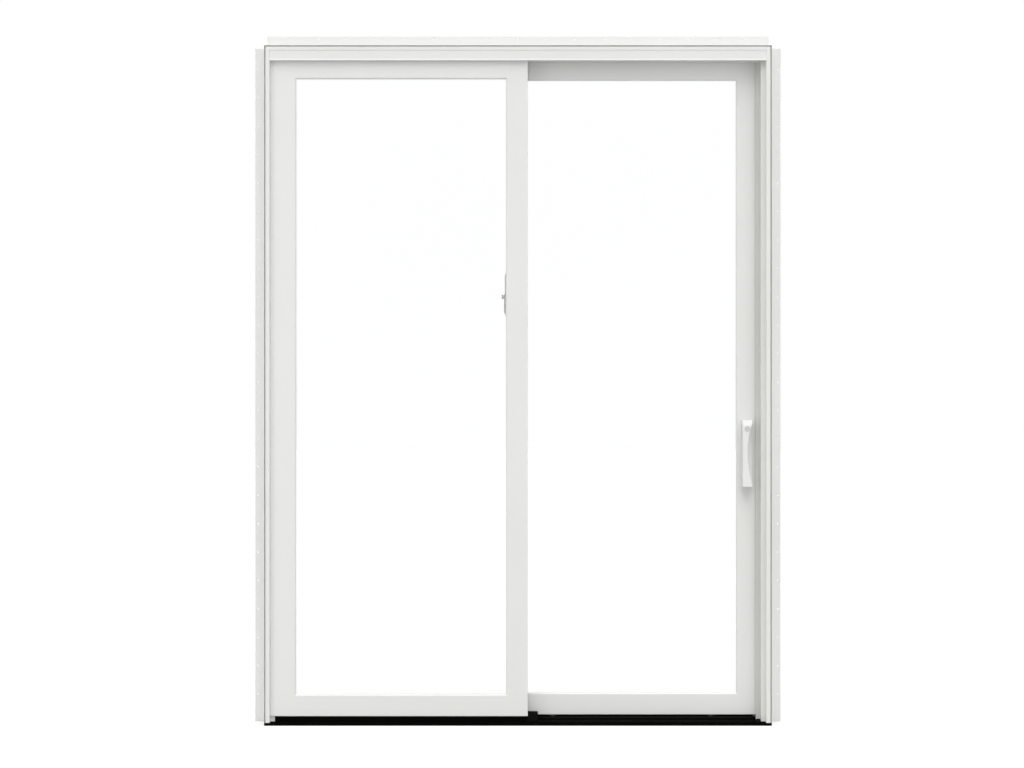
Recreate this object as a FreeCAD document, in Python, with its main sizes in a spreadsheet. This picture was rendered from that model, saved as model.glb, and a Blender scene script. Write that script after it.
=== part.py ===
import FreeCAD, Part
import Sketcher
import os
import re

# Glass sliding patio door, millimetres. X runs to the right seen from outside, Y runs from outside to inside,
# Z is up. The origin is at the middle of the frame's width, on the sill's underside, in the plane where the
# nailing fins bear on the wall.

doc = FreeCAD.newDocument("sliding_patio_door")
sheet = doc.addObject("Spreadsheet::Sheet", "Sizes")

driving_sizes = [
    # Frame
    ("frameWidth", 1810, "frame over the jambs"),
    ("frameHeight", 2426, "sill underside to head top"),
    ("frontDepth", 42, "fin plane to the frame's outside face"),
    ("webThickness", 20, "jamb thickness, seen as the outside lip"),
    ("headThickness", 17, "head thickness over its cover"),
    ("headFace", 54.5, "height of the head seen from outside"),
    ("headOverlap", 15, "how far the panels reach up behind the head cover"),
    ("trimWall", 0.8, "thin wall outside the trim groove"),
    ("trimGroove", 4, "trim groove around the frame's outside face"),
    ("trimDepth", 14, "trim groove into the frame's depth"),
    ("edgeBevel", 2, "bevel of the lips' inner edges and of the sill"),
    ("coverThickness", 6, "head cover"),
    ("coverRecess", 1.5, "head cover's face behind the frame's face"),
    ("noseHeight", 6, "head cover's thicker lower edge"),
    ("noseBevel", 2, "bevel under the head cover's lower edge"),
    ("fixedRecess", 16, "frame face to the fixed panel's face"),
    ("stripReach", 36.5, "frame edge to the parting strip's edge"),
    ("stripThickness", 5, "parting strip"),
    ("sealReach", 52.5, "frame edge to the jamb seal strip's edge"),
    ("sealThickness", 4, "jamb seal strip"),
    ("stopReach", 60, "frame edge to the inside stop's edge"),
    ("stopThickness", 8, "inside stop"),
    ("runningGap", 5, "seal strip to the sliding panel"),
    ("stopGap", 6, "sliding panel to the inside stop"),
    ("cutGap", 0.3, "butt ends of strips and beads"),
    # Sill
    ("sillBase", 10, "sill thickness under the jambs"),
    ("deckHeight", 18, "sill top under the sliding panel, from where it slopes to the outside"),
    ("deckSetback", 5, "parting strip to the raised deck"),
    ("seatInset", 6, "fixed panel's faces to the seat rail"),
    ("riserHeight", 45, "top of the inside riser"),
    ("trackWidth", 6, "roller track"),
    ("trackFoot", 16, "roller track's foot"),
    ("trackFootHeight", 2, "roller track's foot thickness"),
    ("trackRound", 1, "eased edges of the roller track"),
    ("trackGap", 6, "roller track to the sliding panel's underside"),
    ("blockWidth", 36, "sill block at the meeting stile"),
    ("blockRise", 15, "sill block over the seat rail"),
    ("blockSkin", 4, "sill block's front wall"),
    ("apronReach", 7, "apron beyond each side of the sill block"),
    ("apronHeight", 8, "apron of the sill block"),
    # Nailing fins
    ("finWidth", 35, "fin beyond the frame"),
    ("finThickness", 2, "fin"),
    ("finCorner", 8, "fin ends short of the frame's corners"),
    ("holeDiameter", 5, "nail hole"),
    ("holeInset", 10, "nail hole to the fin's edge"),
    ("holeSpacing", 101.6, "nail holes apart"),
    ("holeStart", 108.5, "lowest side hole over the sill's underside"),
    ("holeMargin", 20, "last nail hole to the fin's end, at least"),
    # Panels
    ("panelThickness", 36, "both panels"),
    ("panelBottom", 32, "panel underside over the sill's underside"),
    ("bottomRail", 78, "height of a bottom rail"),
    ("topRail", 80, "height of a top rail"),
    ("jambStile", 93.5, "width of the fixed panel's left stile"),
    ("meetingStile", 78, "width of both meeting stiles"),
    ("lockStile", 90, "width of the lock stile"),
    ("lockGap", 12.5, "lock stile to the right jamb"),
    ("meetingCentre", -4, "middle of the meeting stiles"),
    ("openInset", 97, "open panel to the left jamb"),
    # Glazing
    ("rebateDepth", 16, "glass rebate behind the sight line"),
    ("faceLip", 6, "outside lip that the glass bears on"),
    ("lipBevelRun", 5, "bevel of the lip along the face"),
    ("lipBevelRise", 4, "bevel of the lip into the panel"),
    ("glassBite", 13, "glass behind the sight line"),
    ("paneThickness", 4, "one pane"),
    ("paneSpace", 12, "between the panes"),
    ("spacerBand", 11, "spacer and its seal, from the glass edge"),
    ("beadSetback", 4, "inside bead behind the outside sight line"),
    ("beadBevelRun", 4, "bevel of the inside bead along the face"),
    ("beadBevelRise", 6, "bevel of the inside bead into the panel"),
    # Interlock strips on the meeting stiles
    ("hookThickness", 2, "interlock strip"),
    ("hookBase", 26, "interlock strip on its stile"),
    ("hookLeg", 6.5, "interlock leg beyond its strip"),
    ("hookGap", 5, "between the two interlock legs"),
    ("hookOffset", 5, "fixed interlock leg right of the stiles' middle"),
    # Rollers
    ("grooveWidth", 22, "roller groove in the bottom rail"),
    ("grooveHeight", 40, "roller groove in the bottom rail"),
    ("rollerInset", 90, "roller axle to the rail's end"),
    ("wheelDiameter", 28, "roller wheel over its flanges"),
    ("wheelWidth", 10, "roller wheel"),
    ("flangeDepth", 2, "roller wheel's groove"),
    ("seatGap", 0.3, "wheel to track and axle"),
    ("sideGap", 0.5, "wheel flange to track and housing"),
    ("axleDiameter", 5, "roller axle"),
    ("housingLength", 90, "roller housing"),
    ("housingWall", 2, "roller housing"),
    ("housingFoot", 3, "housing's lower edge inside the groove"),
    # Handles
    ("handleBottom", 849, "lower end of the handles"),
    ("handleBackset", 52.5, "handle's middle to the lock stile's edge"),
    ("gripWidth", 36, "handle grip at its ends"),
    ("gripWaist", 19, "handle grip at its narrowest"),
    ("gripShoulder", 12, "straight part of the grip's edge at its ends"),
    ("gripHeight", 239, "handle grip"),
    ("gripBar", 12, "thickness of the grip's bar"),
    ("standOff", 45, "handle over the stile's face"),
    ("upperFoot", 50, "grip's upper foot"),
    ("lowerFoot", 30, "grip's lower foot"),
    ("gripSlope", 18, "height of the grip's sloping top"),
    ("gripLean", 8, "how far the sloping top leans back"),
    ("gripRound", 3, "rounding of the grip's front edges"),
    ("plateWidth", 38, "handle plate"),
    ("plateInset", 2, "handle plate inside the grip's ends"),
    ("plateThickness", 5, "handle plate"),
    ("cylinderDiameter", 19, "key cylinder"),
    ("cylinderDrop", 31, "key cylinder under the grip's top"),
    ("cylinderProud", 1.5, "key cylinder over the grip"),
    ("plugDiameter", 13, "key plug"),
    ("plugGap", 0.2, "key plug in its cylinder"),
    ("keywayWidth", 2, "keyway"),
    ("keywayHeight", 8, "keyway"),
    ("keywayDepth", 8, "keyway"),
    ("turnDiameter", 22, "thumb turn's rose"),
    ("turnRose", 3, "thumb turn's rose"),
    ("turnWidth", 6, "thumb turn's wing"),
    ("turnLength", 26, "thumb turn's wing"),
    ("turnHeight", 12, "thumb turn's wing"),
    # Lock in the stile's edge and its strike
    ("lockHeight", 968, "middle of the lock and its strike"),
    ("lockPlateWidth", 20, "lock face plate"),
    ("lockPlateHeight", 180, "lock face plate"),
    ("lockPlateThickness", 1.5, "lock face plate"),
    ("lockSlotWidth", 8, "hook slot in both plates"),
    ("lockSlotHeight", 40, "hook slot in both plates"),
    ("strikeWidth", 24, "strike plate"),
    ("strikeHeight", 150, "strike plate"),
    ("strikeThickness", 2, "strike plate"),
    # Night latch on the sliding meeting stile
    ("latchBottom", 1461, "lower end of the night latch"),
    ("latchHeight", 158, "night latch case"),
    ("latchWidth", 24, "night latch case"),
    ("latchThickness", 6.5, "lower half of the night latch case"),
    ("latchUpper", 4, "upper half of the night latch case"),
    ("latchStep", 9, "latch knob's middle to the step in the case"),
    ("latchBevel", 14, "sloping ends of the case"),
    ("knobRise", 70, "latch knob over the case's lower end"),
    ("knobDiameter", 15, "latch knob's round base"),
    ("knobBase", 2.5, "latch knob's round base"),
    ("knobWing", 7, "latch knob's wing"),
    ("knobProud", 6, "latch knob's wing beyond its base"),
    ("spindleDiameter", 6, "latch knob's spindle"),
    # Stop block in the head
    ("blockLength", 46, "open stop"),
    ("blockDepth", 16, "open stop"),
    ("blockDrop", 38, "open stop under the head"),
    ("travelGap", 5, "open stop to the open panel"),
]

for row, (alias, size, note) in enumerate(driving_sizes, start=1):
    sheet.set(f"A{row}", note)
    sheet.set(f"B{row}", str(size))
    sheet.setAlias(f"B{row}", alias)
doc.recompute()


# Rules: plain words in a rule are cells of the sheet, and a word right before a bracket is a function

def rule(text):
    return re.sub(r"\b[A-Za-z]+\b(?!\()", lambda word: "Sizes." + word.group(), text)


def number(text):
    return float(sheet.evalExpression(rule(text)))


def bind(piece, **rules):
    for name, text in rules.items():
        piece.setExpression(name.replace("_", "."), rule(text))


# Places that several pieces share

half_width = "(frameWidth / 2)"
web_face = "(frameWidth / 2 - webThickness)"
strip_edge = "(frameWidth / 2 - stripReach)"
stop_edge = "(frameWidth / 2 - stopReach)"
head_under = "(frameHeight - headThickness)"
cover_under = "(frameHeight - headFace)"

fixed_face = "(fixedRecess - frontDepth)"
fixed_back = f"({fixed_face} + panelThickness)"
strip_back = f"({fixed_back} + stripThickness)"
sliding_face = f"({strip_back} + sealThickness + runningGap)"
sliding_back = f"({sliding_face} + panelThickness)"
sliding_middle = f"({sliding_face} + panelThickness / 2)"
stop_face = f"({sliding_back} + stopGap)"
frame_back = f"({stop_face} + stopThickness)"

panel_top = f"({cover_under} + headOverlap)"
sight_bottom = "(panelBottom + bottomRail)"
sight_top = f"({panel_top} - topRail)"
track_top = "(panelBottom - trackGap)"

meeting_left = "(meetingCentre - meetingStile / 2)"
meeting_right = "(meetingCentre + meetingStile / 2)"
lock_edge = f"({web_face} - lockGap)"
panel_travel = f"({meeting_left} + {web_face} - openInset)"

pieces = []


def keep(piece, label):
    piece.Label = label
    pieces.append(piece)
    return piece


# Ways of making a piece

def slab(name, across, deep, high):
    piece = doc.addObject("Part::Box", name)
    bind(
        piece,
        Length=f"{across[1]} - ({across[0]})",
        Width=f"{deep[1]} - ({deep[0]})",
        Height=f"{high[1]} - ({high[0]})",
        Placement_Base_x=across[0],
        Placement_Base_y=deep[0],
        Placement_Base_z=high[0],
    )
    return piece


def rod(name, axis, first, second, span, diameter):
    piece = doc.addObject("Part::Cylinder", name)
    turns = {"X": ((0, 1, 0), 90), "Y": ((1, 0, 0), -90)}
    around, angle = turns[axis]
    piece.Placement = FreeCAD.Placement(
        FreeCAD.Vector(), FreeCAD.Rotation(FreeCAD.Vector(around), angle)
    )
    places = {"X": (span[0], first, second), "Y": (first, span[0], second)}[axis]
    bind(
        piece,
        Radius=f"({diameter}) / 2",
        Height=f"{span[1]} - ({span[0]})",
        Placement_Base_x=places[0],
        Placement_Base_y=places[1],
        Placement_Base_z=places[2],
    )
    return piece


def taper(name, across, high, deep, front_run, back_run):
    piece = doc.addObject("Part::Wedge", name)
    bind(
        piece,
        Xmin=f"{across[0]} - {front_run}",
        Xmax=f"{across[1]} + {front_run}",
        Zmin=f"{high[0]} - {front_run}",
        Zmax=f"{high[1]} + {front_run}",
        X2min=f"{across[0]} - {back_run}",
        X2max=f"{across[1]} + {back_run}",
        Z2min=f"{high[0]} - {back_run}",
        Z2max=f"{high[1]} + {back_run}",
        Ymin=deep[0],
        Ymax=deep[1],
    )
    return piece


def cut(name, base, tool):
    piece = doc.addObject("Part::Cut", name)
    piece.Base = base
    piece.Tool = tool
    return piece


def fuse(name, *solids):
    piece = doc.addObject("Part::MultiFuse", name)
    piece.Shapes = list(solids)
    return piece


def group(name, *solids):
    piece = doc.addObject("Part::Compound", name)
    piece.Links = list(solids)
    return piece


def corners(first, second):
    return [(first[0], second[0]), (first[1], second[0]), (first[1], second[1]), (first[0], second[1])]


def sketch_on(body, plane, right, up, lift):
    sketch = body.newObject("Sketcher::SketchObject", "Outline")
    support = next(f for f in body.Origin.OriginFeatures if f.Role == plane)
    sketch.AttachmentSupport = [(support, "")]
    sketch.MapMode = "FlatFace"
    bind(sketch, AttachmentOffset_Base_x=right, AttachmentOffset_Base_y=up, AttachmentOffset_Base_z=lift)
    return sketch


def fix_point(sketch, edge, vertex, point, rules):
    for axis, at, text in zip("XY", point, rules):
        made = sketch.addConstraint(Sketcher.Constraint("Distance" + axis, edge, vertex, at))
        sketch.setExpression(f"Constraints[{made}]", rule(text))


def draw_loop(sketch, outline):
    first = sketch.GeometryCount
    count = len(outline)
    points = [FreeCAD.Vector(number(across), number(up), 0) for across, up in outline]
    for here in range(count):
        sketch.addGeometry(Part.LineSegment(points[here], points[(here + 1) % count]), False)
    for here in range(count):
        after = first + (here + 1) % count
        sketch.addConstraint(Sketcher.Constraint("Coincident", first + here, 2, after, 1))
    for here, rules in enumerate(outline):
        fix_point(sketch, first + here, 1, points[here], rules)


def draw_circle(sketch, centre, diameter):
    middle = FreeCAD.Vector(number(centre[0]), number(centre[1]), 0)
    round_edge = Part.Circle(middle, FreeCAD.Vector(0, 0, 1), number(diameter) / 2)
    edge = sketch.addGeometry(round_edge, False)
    made = sketch.addConstraint(Sketcher.Constraint("Diameter", edge, number(diameter)))
    sketch.setExpression(f"Constraints[{made}]", rule(diameter))
    fix_point(sketch, edge, 3, middle, centre)


def lift_of(plane, span):
    # The XZ plane faces outside, so its sketches are lifted to the far end of a span in Y
    return f"-({span[1]})" if plane == "XZ_Plane" else span[0]


def add_run(body, plane, span, *outlines):
    sketch = sketch_on(body, plane, "0", "0", lift_of(plane, span))
    for outline in outlines:
        draw_loop(sketch, outline)
    pad = body.newObject("PartDesign::Pad", "Run")
    pad.Profile = sketch
    bind(pad, Length=f"{span[1]} - ({span[0]})")


def new_body(name):
    body = doc.addObject("PartDesign::Body", name)
    body.AllowCompound = True
    return body


def extrusion(name, plane, span, *outlines):
    body = new_body(name)
    add_run(body, plane, span, *outlines)
    return body


def bore(body, centre, diameter, span):
    # Cuts a round hole along Y over the span
    doc.recompute()
    before = body.Shape.Volume
    sketch = sketch_on(body, "XZ_Plane", "0", "0", f"-({span[0]})")
    draw_circle(sketch, centre, diameter)
    pocket = body.newObject("PartDesign::Pocket", "Bore")
    pocket.Profile = sketch
    bind(pocket, Length=f"{span[1]} - ({span[0]})")
    doc.recompute()
    if not body.Shape.Volume < before:
        raise RuntimeError(f"the bore in {body.Name} cuts nothing")
    return pocket


def turned(name, centre, outline):
    # Turns an outline of (along Y, radius) points about an axis along Y through the centre
    body = new_body(name)
    sketch = sketch_on(body, "YZ_Plane", centre[1], centre[2], centre[0])
    draw_loop(sketch, outline)
    turn = body.newObject("PartDesign::Revolution", "Turn")
    turn.Profile = sketch
    turn.ReferenceAxis = (sketch, ["H_Axis"])
    turn.Angle = 360
    return body


def mirrored(span):
    return (f"-({span[1]})", f"-({span[0]})")


# Sill: a black base under the jambs, a deck that slopes to the outside, and the fixed panel's seat

deck_front = f"({strip_back} + deckSetback)"
slope_front = "(edgeBevel - frontDepth)"


def slope_at(deep):
    # Height of the sill's sloping top at a depth
    rate = f"(deckHeight - sillBase) / ({deck_front} - {slope_front})"
    return f"(sillBase + ({deep} - {slope_front}) * {rate})"


def on_slope(deep, top):
    # Outline of a piece over a depth, from the sloping sill up to its level top
    return [(deep[0], slope_at(deep[0])), (deep[1], slope_at(deep[1])), (deep[1], top), (deep[0], top)]


between_jambs = (f"-{web_face}", web_face)
between_stops = (f"-{stop_edge}", stop_edge)
sill = extrusion(
    "Sill",
    "YZ_Plane",
    (f"-{half_width}", half_width),
    [
        ("-frontDepth", "0"),
        (frame_back, "0"),
        (frame_back, "sillBase"),
        (slope_front, "sillBase"),
        ("-frontDepth", "sillBase - edgeBevel"),
    ],
)
deck_top = [(deck_front, "deckHeight"), (frame_back, "deckHeight")]
add_run(sill, "YZ_Plane", between_jambs, [(slope_front, "sillBase"), *deck_top, (frame_back, "sillBase")])
keep(sill, "sill")

seat_depth = (f"({fixed_face} + seatInset)", f"({fixed_back} - seatInset)")
block_span = (meeting_right, f"({meeting_right} + blockWidth)")
seat_span = (f"-{strip_edge}", block_span[1])
keep(extrusion("SeatRail", "YZ_Plane", seat_span, on_slope(seat_depth, "panelBottom")), "sill_seat_rail")
keep(slab("Riser", between_stops, (stop_face, frame_back), ("deckHeight", "riserHeight")), "sill_riser")

rail_left = f"({sliding_middle} - trackWidth / 2)"
rail_right = f"({sliding_middle} + trackWidth / 2)"
foot_left = f"({sliding_middle} - trackFoot / 2)"
foot_right = f"({sliding_middle} + trackFoot / 2)"
foot_top = "(deckHeight + trackFootHeight)"
keep(
    extrusion(
        "Track",
        "YZ_Plane",
        between_stops,
        [
            (foot_left, "deckHeight"),
            (foot_right, "deckHeight"),
            (foot_right, foot_top),
            (rail_right, foot_top),
            (rail_right, f"{track_top} - trackRound"),
            (f"{rail_right} - trackRound", track_top),
            (f"{rail_left} + trackRound", track_top),
            (rail_left, f"{track_top} - trackRound"),
            (rail_left, foot_top),
            (foot_left, foot_top),
        ],
    ),
    "roller_track",
)

block_front = f"({seat_depth[0]} - blockSkin)"
block_top = "(panelBottom + blockRise)"
sill_block = extrusion(
    "SillBlock",
    "YZ_Plane",
    block_span,
    [
        (block_front, slope_at(block_front)),
        (seat_depth[0], slope_at(seat_depth[0])),
        (seat_depth[0], "panelBottom"),
        (seat_depth[1], "panelBottom"),
        (seat_depth[1], block_top),
        (block_front, block_top),
    ],
)
apron_span = (f"{block_span[0]} - apronReach", f"{block_span[1]} + apronReach")
add_run(sill_block, "YZ_Plane", apron_span, on_slope((block_front, seat_depth[0]), "sillBase + apronHeight"))
keep(sill_block, "sill_block")


# Head and jambs: mitred at the upper corners with a trim groove all round, and the jambs run down to the sill

frame_depth = ("-frontDepth", frame_back)


def jamb_section(outer, inner, sign):
    groove_outside = f"{outer} - ({sign}) * trimWall"
    groove_inside = f"{outer} - ({sign}) * (trimWall + trimGroove)"
    return [
        (outer, "-frontDepth"),
        (groove_outside, "-frontDepth"),
        (groove_outside, "trimDepth - frontDepth"),
        (groove_inside, "trimDepth - frontDepth"),
        (groove_inside, "-frontDepth"),
        (f"{inner} + ({sign}) * edgeBevel", "-frontDepth"),
        (inner, "edgeBevel - frontDepth"),
        (inner, frame_back),
        (outer, frame_back),
    ]


trim_top = "frameHeight - trimWall"
trim_bottom = "frameHeight - trimWall - trimGroove"
head = extrusion(
    "Head",
    "YZ_Plane",
    (f"-{half_width}", half_width),
    [
        ("-frontDepth", head_under),
        (frame_back, head_under),
        (frame_back, "frameHeight"),
        ("-frontDepth", "frameHeight"),
        ("-frontDepth", trim_top),
        ("trimDepth - frontDepth", trim_top),
        ("trimDepth - frontDepth", trim_bottom),
        ("-frontDepth", trim_bottom),
    ],
)
for label, sign in (("left_jamb", "-1"), ("right_jamb", "1")):
    outer = f"({sign}) * {half_width}"
    inner = f"({sign}) * {web_face}"
    mitre_foot = (f"{outer} - ({sign}) * headThickness", head_under)
    mitre_tip = (outer, "frameHeight")
    jamb_waste = [mitre_tip, mitre_foot, (inner, head_under), (inner, "frameHeight")]
    head_waste = [mitre_tip, mitre_foot, (outer, head_under)]
    above_jamb = extrusion("AboveJamb", "XZ_Plane", frame_depth, jamb_waste)
    beyond_head = extrusion("BeyondHead", "XZ_Plane", frame_depth, head_waste)
    jamb = extrusion("Jamb", "XY_Plane", ("sillBase", "frameHeight"), jamb_section(outer, inner, sign))
    keep(cut("MitredJamb", jamb, above_jamb), label)
    head = cut("MitredHead", head, beyond_head)
keep(head, "head")

cover_face = "(coverRecess - frontDepth)"
cover_back = "(coverThickness - frontDepth)"
nose_top = f"({cover_under} + noseHeight)"
keep(
    extrusion(
        "HeadCover",
        "YZ_Plane",
        between_jambs,
        [
            (cover_back, head_under),
            (cover_back, cover_under),
            ("noseBevel - frontDepth", cover_under),
            ("-frontDepth", f"{cover_under} + noseBevel"),
            ("-frontDepth", f"{nose_top} - coverRecess"),
            (cover_face, nose_top),
            (cover_face, head_under),
        ],
    ),
    "head_cover",
)


def three_strips(name, edge, deep, head_drop):
    # A strip on each jamb and one under the head, cut between them
    side = (edge, web_face)
    high = ("deckHeight", head_under)
    top = (f"cutGap - {edge}", f"{edge} - cutGap")
    return group(
        name,
        slab(name + "Left", mirrored(side), deep, high),
        slab(name + "Right", side, deep, high),
        slab(name + "Head", top, deep, (head_drop, head_under)),
    )


stop_depth = (stop_face, frame_back)
keep(three_strips("InsideStops", stop_edge, stop_depth, "frameHeight - stopReach"), "inside_stops")

# Parting strips: the left one lies behind the fixed panel, with a foot under the panel's corner
strip_side = (strip_edge, web_face)
strip_foot = "panelBottom - cutGap"
left_strip = extrusion(
    "LeftStrip",
    "YZ_Plane",
    mirrored(strip_side),
    [
        (seat_depth[0], slope_at(seat_depth[0])),
        (strip_back, slope_at(strip_back)),
        (strip_back, head_under),
        (fixed_back, head_under),
        (fixed_back, strip_foot),
        (seat_depth[0], strip_foot),
    ],
)
right_outline = on_slope((seat_depth[0], strip_back), head_under)
right_strip = extrusion("RightStrip", "YZ_Plane", strip_side, right_outline)
head_strip_span = (f"cutGap - {strip_edge}", f"{strip_edge} - cutGap")
head_strip = slab("HeadStrip", head_strip_span, (fixed_back, strip_back), (cover_under, head_under))
keep(group("PartingStrips", left_strip, right_strip, head_strip), "parting_strips")
keep(
    slab(
        "SealStrip",
        ("frameWidth / 2 - sealReach", web_face),
        (strip_back, f"{strip_back} + sealThickness"),
        ("deckHeight", head_under),
    ),
    "jamb_seal_strip",
)


# Nailing fins with a row of nail holes

def nailing_fin(name, across, high, first_hole, along, count):
    body = extrusion(name, "XZ_Plane", ("-finThickness", "0"), corners(across, high))
    hole = bore(body, first_hole, "holeDiameter", ("-finThickness", "0"))
    row = body.newObject("PartDesign::LinearPattern", "HoleRow")
    row.Originals = [hole]
    row.Direction = (hole.Profile[0], [along])
    bind(row, Length=f"holeSpacing * ({count} - 1)", Occurrences=count)
    body.Tip = row
    return body


fin_side = (half_width, f"({half_width} + finWidth)")
fin_height = ("sillBase", "frameHeight - finCorner")
hole_out = f"({half_width} + finWidth - holeInset)"
head_fin = (f"finCorner - {half_width}", f"{half_width} - finCorner")
head_fin_height = ("frameHeight", "frameHeight + finWidth")
# As many holes as fit: up from the lowest one in a side fin, and either way from the middle of the head fin
side_holes = f"(floor(({fin_height[1]} - holeMargin - holeStart) / holeSpacing) + 1)"
holes_each_way = f"floor(({half_width} - finCorner - holeMargin) / holeSpacing)"
head_holes = f"(2 * {holes_each_way} + 1)"
first_head_hole = (f"-holeSpacing * {holes_each_way}", "frameHeight + finWidth - holeInset")
first_left_hole = (f"-{hole_out}", "holeStart")
first_right_hole = (hole_out, "holeStart")
fin_left = nailing_fin("FinLeft", mirrored(fin_side), fin_height, first_left_hole, "V_Axis", side_holes)
fin_right = nailing_fin("FinRight", fin_side, fin_height, first_right_hole, "V_Axis", side_holes)
fin_head = nailing_fin("FinHead", head_fin, head_fin_height, first_head_hole, "H_Axis", head_holes)
keep(fin_left, "nailing_fin_left")
keep(fin_right, "nailing_fin_right")
keep(fin_head, "nailing_fin_head")


# Panels: stiles run full height, rails are coped between them, and the glass lies behind a bevelled lip

def panel(prefix, face, left, right, groove):
    outer_left, sight_left, left_name = left
    sight_right, outer_right, right_name = right
    back = f"({face} + panelThickness)"
    lip_back = f"({face} + faceLip)"
    rebate = (f"({sight_left} - rebateDepth)", f"({sight_right} + rebateDepth)")
    sight = (sight_left, sight_right)
    sight_high = (sight_bottom, sight_top)
    rebate_high = (f"({sight_bottom} - rebateDepth)", f"({sight_top} + rebateDepth)")
    panel_high = ("panelBottom", panel_top)
    name = prefix.capitalize()

    lip_bevel = taper(
        name + "LipBevel", sight, sight_high, (face, f"{face} + lipBevelRise"), "lipBevelRun", "0"
    )

    def stile(outer, seen, rebated):
        lip_corners = [(outer, face), (seen, face), (seen, lip_back)]
        back_corners = [(rebated, lip_back), (rebated, back), (outer, back)]
        return extrusion(name + "Stile", "XY_Plane", panel_high, lip_corners + back_corners)

    def rail(front_high, back_outline):
        body = extrusion(name + "Rail", "YZ_Plane", rebate, back_outline)
        add_run(body, "YZ_Plane", sight, corners((face, lip_back), front_high))
        return body

    bottom_back = corners((lip_back, back), ("panelBottom", rebate_high[0]))
    if groove:
        middle = f"({face} + panelThickness / 2)"
        groove_top = "panelBottom + grooveHeight"
        bottom_back[1:1] = [
            (f"{middle} - grooveWidth / 2", "panelBottom"),
            (f"{middle} - grooveWidth / 2", groove_top),
            (f"{middle} + grooveWidth / 2", groove_top),
            (f"{middle} + grooveWidth / 2", "panelBottom"),
        ]
    members = {
        left_name: stile(outer_left, sight_left, rebate[0]),
        right_name: stile(outer_right, sight_right, rebate[1]),
        "top_rail": rail((sight_top, panel_top), corners((lip_back, back), (rebate_high[1], panel_top))),
        "bottom_rail": rail(("panelBottom", sight_bottom), bottom_back),
    }
    for label, blank in members.items():
        keep(cut(name + "Member", blank, lip_bevel), f"{prefix}_{label}")

    glass = (f"({sight_left} - glassBite)", f"({sight_right} + glassBite)")
    glass_high = (f"({sight_bottom} - glassBite)", f"({sight_top} + glassBite)")
    outer_back = f"({lip_back} + paneThickness)"
    inner_front = f"({outer_back} + paneSpace)"
    inner_back = f"({inner_front} + paneThickness)"
    keep(slab(name + "OuterGlass", glass, (lip_back, outer_back), glass_high), f"{prefix}_outer_glass")
    keep(slab(name + "InnerGlass", glass, (inner_front, inner_back), glass_high), f"{prefix}_inner_glass")
    space = (outer_back, inner_front)
    clear = (f"{glass[0]} + spacerBand", f"{glass[1]} - spacerBand")
    clear_high = (f"{glass_high[0]} + spacerBand", f"{glass_high[1]} - spacerBand")
    spacer_block = slab(name + "SpacerBlock", glass, space, glass_high)
    spacer_clear = slab(name + "SpacerClear", clear, space, clear_high)
    keep(cut(name + "Spacer", spacer_block, spacer_clear), f"{prefix}_glass_spacer")

    # Inside beads, mitred at the corners with a hairline gap
    low, high = rebate_high
    bead_left, bead_right = f"({sight_left} - beadSetback)", f"({sight_right} + beadSetback)"
    bead_bottom, bead_top = f"({sight_bottom} - beadSetback)", f"({sight_top} + beadSetback)"
    beads = extrusion(
        name + "Beads",
        "XZ_Plane",
        (inner_back, back),
        [
            (f"{rebate[0]} + cutGap", low),
            (f"{rebate[1]} - cutGap", low),
            (f"{bead_right} - cutGap", bead_bottom),
            (f"{bead_left} + cutGap", bead_bottom),
        ],
        [
            (f"{rebate[0]} + cutGap", high),
            (f"{rebate[1]} - cutGap", high),
            (f"{bead_right} - cutGap", bead_top),
            (f"{bead_left} + cutGap", bead_top),
        ],
        [
            (rebate[0], f"{low} + cutGap"),
            (bead_left, f"{bead_bottom} + cutGap"),
            (bead_left, f"{bead_top} - cutGap"),
            (rebate[0], f"{high} - cutGap"),
        ],
        [
            (rebate[1], f"{low} + cutGap"),
            (bead_right, f"{bead_bottom} + cutGap"),
            (bead_right, f"{bead_top} - cutGap"),
            (rebate[1], f"{high} - cutGap"),
        ],
    )
    bead_bevel = taper(
        name + "BeadBevel",
        (bead_left, bead_right),
        (bead_bottom, bead_top),
        (f"{back} - beadBevelRise", back),
        "0",
        "beadBevelRun",
    )
    keep(cut(name + "BevelledBeads", beads, bead_bevel), f"{prefix}_glazing_beads")


fixed_sight_left = "(webThickness + jambStile - frameWidth / 2)"
sliding_sight_right = f"({lock_edge} - lockStile)"
panel(
    "fixed",
    fixed_face,
    (f"-{web_face}", fixed_sight_left, "left_stile"),
    (meeting_left, meeting_right, "meeting_stile"),
    groove=False,
)
panel(
    "sliding",
    sliding_face,
    (meeting_left, meeting_right, "meeting_stile"),
    (sliding_sight_right, lock_edge, "lock_stile"),
    groove=True,
)


# Interlock strips: two L shapes on the meeting stiles that face each other in the gap between the panels

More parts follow.
